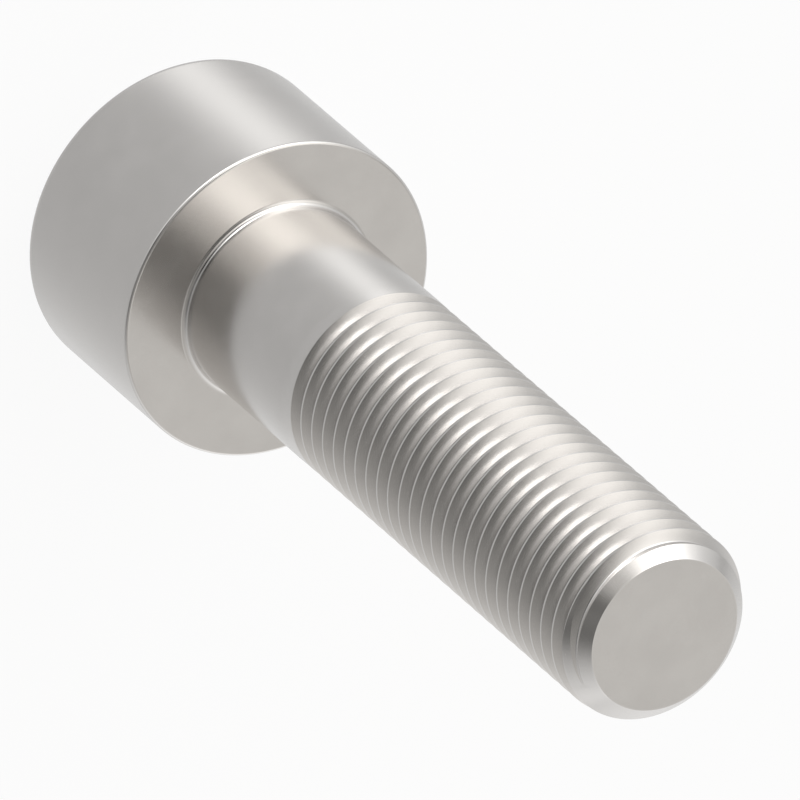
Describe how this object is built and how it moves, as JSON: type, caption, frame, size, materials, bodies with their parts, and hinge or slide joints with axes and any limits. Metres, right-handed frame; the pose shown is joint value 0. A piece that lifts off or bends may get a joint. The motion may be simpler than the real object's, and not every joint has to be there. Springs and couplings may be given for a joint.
{
  "type": "socket head cap screw",
  "caption": "Cap screw with a tall cylindrical head, hexagon socket, plain shank and fine right-hand thread ending in a chamfered point; it clamps parts together.",
  "frame": {"origin": "on the screw's axis, in the plane of the bearing face under the head", "axes": "+Z runs along the axis from the head to the tip, and the flats of the hexagon socket face +Y and -Y"},
  "size_m": [0.02, 0.02, 0.0565],
  "materials": {
    "steel": "bare satin steel, clean and unmarked"
  },
  "bodies": {
    "root": {"cap_screw": "steel"}
  },
  "joints": []
}
